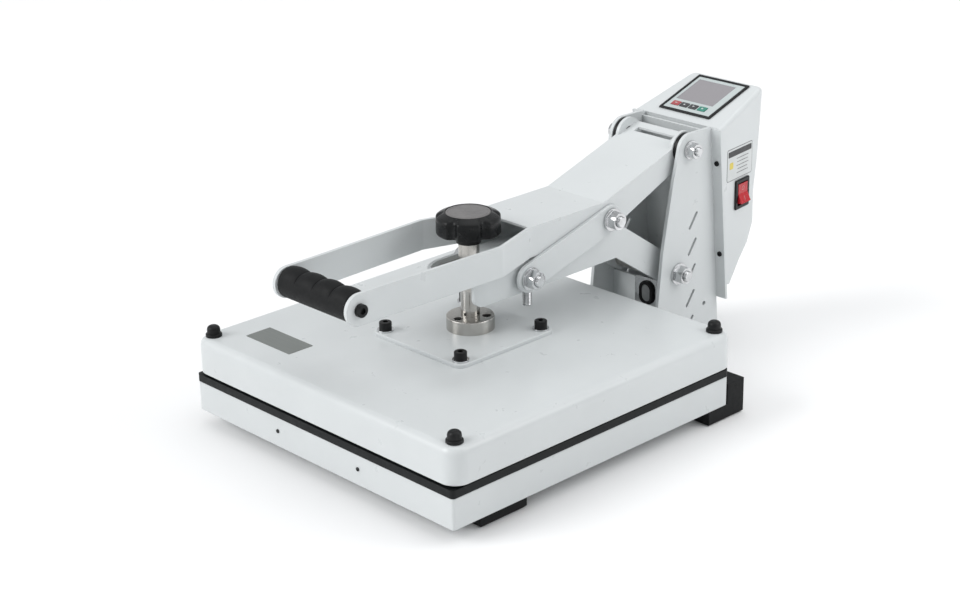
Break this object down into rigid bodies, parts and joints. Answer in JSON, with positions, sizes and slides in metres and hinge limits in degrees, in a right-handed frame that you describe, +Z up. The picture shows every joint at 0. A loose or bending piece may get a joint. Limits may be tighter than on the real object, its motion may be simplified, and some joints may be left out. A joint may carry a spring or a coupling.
{
  "type": "clamshell heat press",
  "caption": "Clamshell heat press: square tray and pad, hinged heated platen on a linked lever arm, pressure knob, leaning control box with display and rocker switch.",
  "frame": {"origin": "centre of the closed machine's footprint, on the floor", "axes": "+Z up, -Y towards the user (the handle), +X to the user's right (the side with the power switch)"},
  "size_m": [0.388, 0.606, 0.2793],
  "materials": {
    "white_coat": "satin powder coat",
    "zinc": "bright zinc plate",
    "turned_steel": "turned, lightly oiled",
    "black_oxide": "black oxide",
    "black_rubber": "matt moulded rubber",
    "black_silicone": "matt silicone sheet",
    "cast_alloy": "dark non-stick coat",
    "fibre": "ceramic fibre felt",
    "black_plastic": "fine moulded texture",
    "pale_plastic": "printed film",
    "screen": "smooth, unlit",
    "red_plastic": "moulded gloss",
    "green_plastic": "moulded gloss",
    "key_black": "moulded gloss",
    "board": "solder mask"
  },
  "bodies": {
    "base": {"base_tray": "white_coat", "tray_screws": "black_oxide", "base_rails": "white_coat", "base_plate": "white_coat", "base_plate_bolts": "zinc", "feet_front": "black_rubber", "feet_rear": "black_rubber", "column_feet": "black_rubber", "silicone_pad": "black_silicone", "column_side_right": "white_coat", "column_side_left": "white_coat", "column_webs": "white_coat", "column_bolts": "zinc", "cable_gland": "black_rubber", "gland_plate": "zinc", "flange_screws": "black_oxide", "lever_pivot_rod": "zinc", "lever_pivot_nuts": "zinc", "arm_pivot_bolt": "zinc", "arm_pivot_nuts": "zinc", "control_box_shell": "white_coat", "control_box_front": "white_coat", "display_bezel": "black_plastic", "display_panel": "pale_plastic", "display_screen": "screen", "control_board": "board", "switch_bezel": "black_plastic"},
    "lever": {"lever_frame": "white_coat", "lever_bushes": "black_plastic", "handle_rod": "turned_steel", "handle_grip": "black_rubber", "handle_screws": "black_oxide", "link_pivot_bolt": "zinc", "link_pivot_nuts": "zinc"},
    "links": {"link_plates": "white_coat", "toe_bolts": "zinc", "toe_nuts": "zinc"},
    "arm": {"arm_frame": "white_coat", "screw_nut_block": "turned_steel", "arm_pivot_bush": "turned_steel", "arm_toe_bush": "turned_steel", "levelling_bolts": "zinc"},
    "platen": {"platen_cover": "white_coat", "heating_plate": "cast_alloy", "insulation_blanket": "fibre", "platen_spacers": "turned_steel", "cover_studs": "turned_steel", "dome_nuts": "black_oxide", "pressure_plate": "white_coat", "pressure_bolts": "black_oxide", "pressure_washers": "zinc", "screw_hub": "turned_steel", "hub_screws": "black_oxide"},
    "knob": {"pressure_knob": "black_plastic", "pressure_screw": "turned_steel"},
    "rocker": {"switch_rocker": "red_plastic"},
    "key_red": {"button_red": "red_plastic"},
    "key_left": {"button_left": "key_black"},
    "key_right": {"button_right": "key_black"},
    "key_green": {"button_green": "green_plastic"}
  },
  "joints": [
    {"name": "lever_hinge", "type": "hinge", "parent": "base", "child": "lever", "pos_m": [0, 0.1805, 0.235], "axis": [-1, 0, 0], "range_deg": [0, 90]},
    {"name": "arm_hinge", "type": "hinge", "parent": "base", "child": "arm", "pos_m": [0, 0.1645, 0.099], "axis": [-1, 0, 0], "range_deg": [0, 39.68]},
    {"name": "link_hinge", "type": "hinge", "parent": "lever", "child": "links", "pos_m": [0, 0.0635, 0.1855], "axis": [-1, 0, 0], "range_deg": [-109.57, 0]},
    {"name": "knob_turn", "type": "hinge", "parent": "platen", "child": "knob", "pos_m": [0, -0.097, 0.2], "axis": [0, 0, 1], "range_deg": [0, 1440]},
    {"name": "platen_slide", "type": "slide", "parent": "arm", "child": "platen", "axis": [0, 0, 1], "range_m": [0, 0.008]},
    {"name": "press_red", "type": "slide", "parent": "base", "child": "key_red", "axis": [0, 0.3158, -0.9488], "range_m": [0, 0.001], "stiffness_N_per_m": 400},
    {"name": "press_left", "type": "slide", "parent": "base", "child": "key_left", "axis": [0, 0.3158, -0.9488], "range_m": [0, 0.001], "stiffness_N_per_m": 400},
    {"name": "press_right", "type": "slide", "parent": "base", "child": "key_right", "axis": [0, 0.3158, -0.9488], "range_m": [0, 0.001], "stiffness_N_per_m": 400},
    {"name": "press_green", "type": "slide", "parent": "base", "child": "key_green", "axis": [0, 0.3158, -0.9488], "range_m": [0, 0.001], "stiffness_N_per_m": 400},
    {"name": "rocker_turn", "type": "hinge", "parent": "base", "child": "rocker", "pos_m": [0.05599, 0.2605, 0.169], "axis": [-0.1365, 0.9906, 0], "range_deg": [0, 24]}
  ],
  "couplings": [
    {"joint": "arm_hinge", "follows": "lever_hinge", "ratio": 0.44092},
    {"joint": "link_hinge", "follows": "lever_hinge", "ratio": -1.2174},
    {"joint": "knob_turn", "follows": "platen_slide", "rad_per_m": 3141.6}
  ]
}
